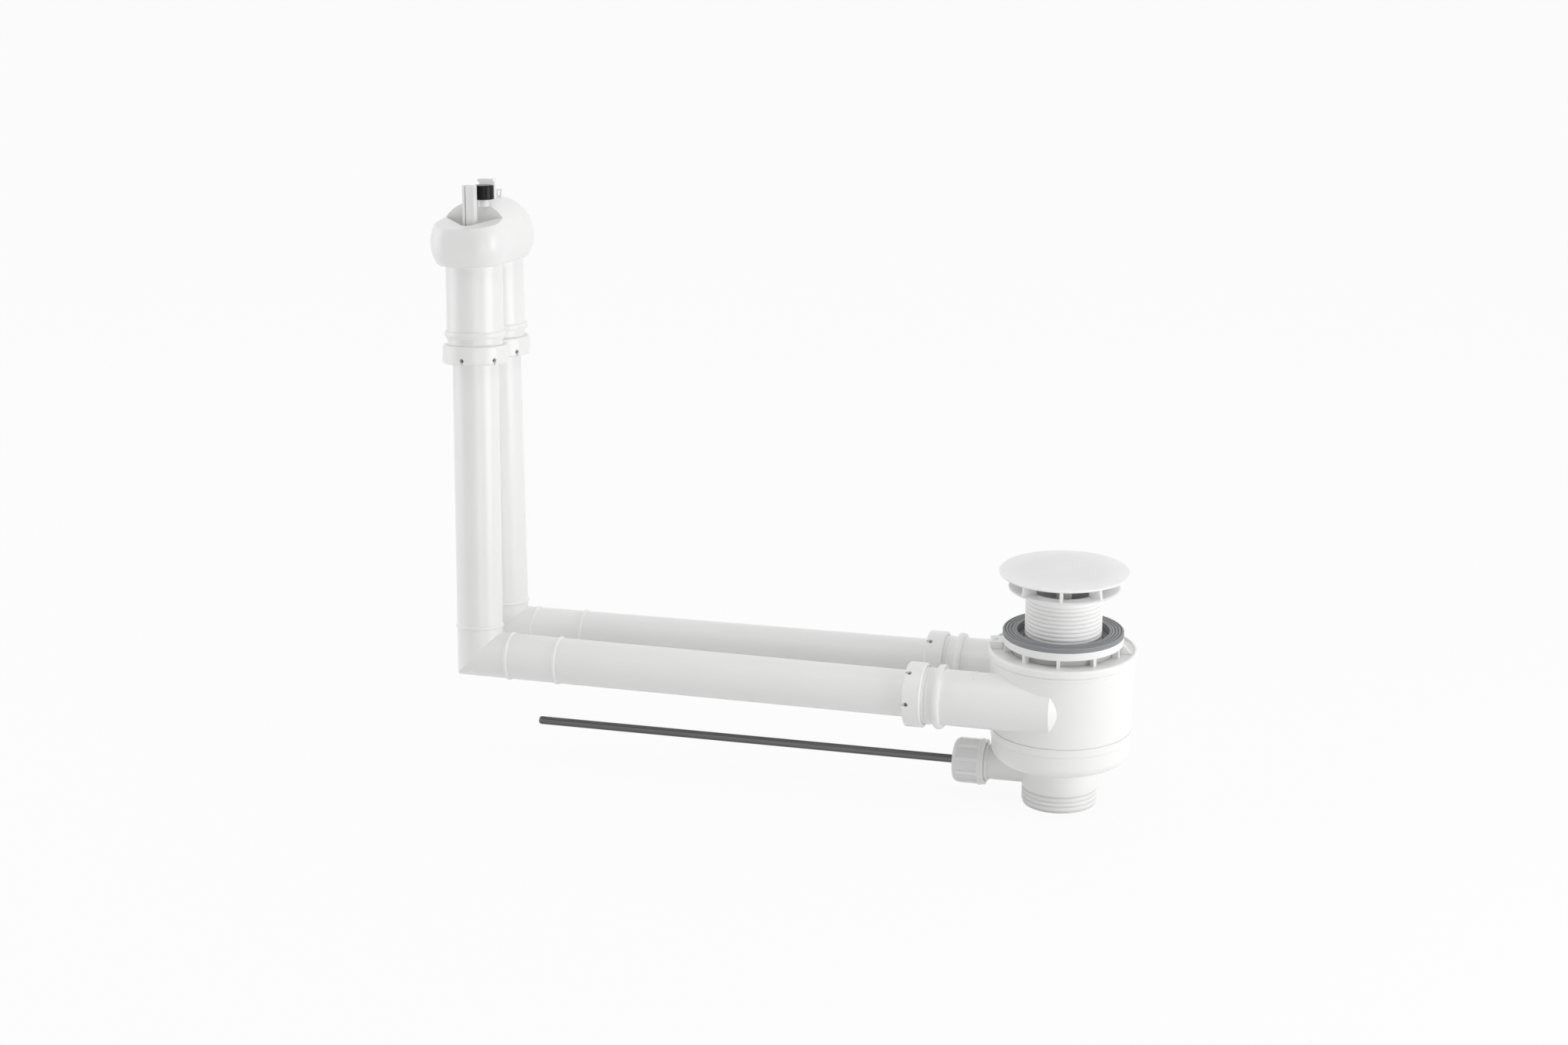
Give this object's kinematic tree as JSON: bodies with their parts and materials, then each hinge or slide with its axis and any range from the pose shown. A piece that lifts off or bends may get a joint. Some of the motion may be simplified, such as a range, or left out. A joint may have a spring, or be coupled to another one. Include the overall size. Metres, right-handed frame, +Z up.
{
  "type": "bath waste and overflow",
  "caption": "White plastic bath waste with a cap over its inlet, a lever rod that works the plug, and twin pipes rising to a closed overflow head.",
  "frame": {"origin": "centre of the outlet's end face, on the axis of the waste", "axes": "+Z up along the axis of the waste, -X towards the overflow risers, +Y towards the back pipe run"},
  "size_m": [0.454, 0.1245, 0.3713],
  "materials": {
    "white_plastic": "satin moulded polypropylene",
    "nut_plastic": "slightly translucent moulded polypropylene",
    "grey_rubber": "matt moulded rubber",
    "black_plastic": "black moulded plastic",
    "steel_rod": "drawn steel"
  },
  "bodies": {
    "waste": {"waste_base": "white_plastic", "waste_housing": "white_plastic", "valve_plate": "white_plastic", "plate_seal": "grey_rubber", "bath_gasket": "grey_rubber", "waste_flange": "white_plastic", "cover_cap": "white_plastic", "ball_seat": "white_plastic", "ball_washer": "grey_rubber", "rod_nut": "nut_plastic", "overflow_head": "white_plastic", "vent_cap": "black_plastic", "front_pipe": "white_plastic", "front_branch_nut": "white_plastic", "front_branch_seal": "grey_rubber", "front_riser_nut": "white_plastic", "front_riser_seal": "grey_rubber", "back_pipe": "white_plastic", "back_branch_nut": "white_plastic", "back_branch_seal": "grey_rubber", "back_riser_nut": "white_plastic", "back_riser_seal": "grey_rubber"},
    "rod": {"lever_rod": "steel_rod", "rod_ball": "white_plastic"},
    "plug": {"plug": "white_plastic", "plug_seal": "grey_rubber"}
  },
  "joints": [
    {"name": "rod_tilt", "type": "hinge", "parent": "waste", "child": "rod", "pos_m": [-0.058, 0, 0.021], "axis": [0, 1, 0], "range_deg": [0, 6.9]},
    {"name": "plug_travel", "type": "slide", "parent": "waste", "child": "plug", "axis": [0, 0, 1], "range_m": [-0.007, 0]}
  ],
  "couplings": [
    {"joint": "plug_travel", "follows": "rod_tilt", "m_per_rad": -0.058}
  ]
}
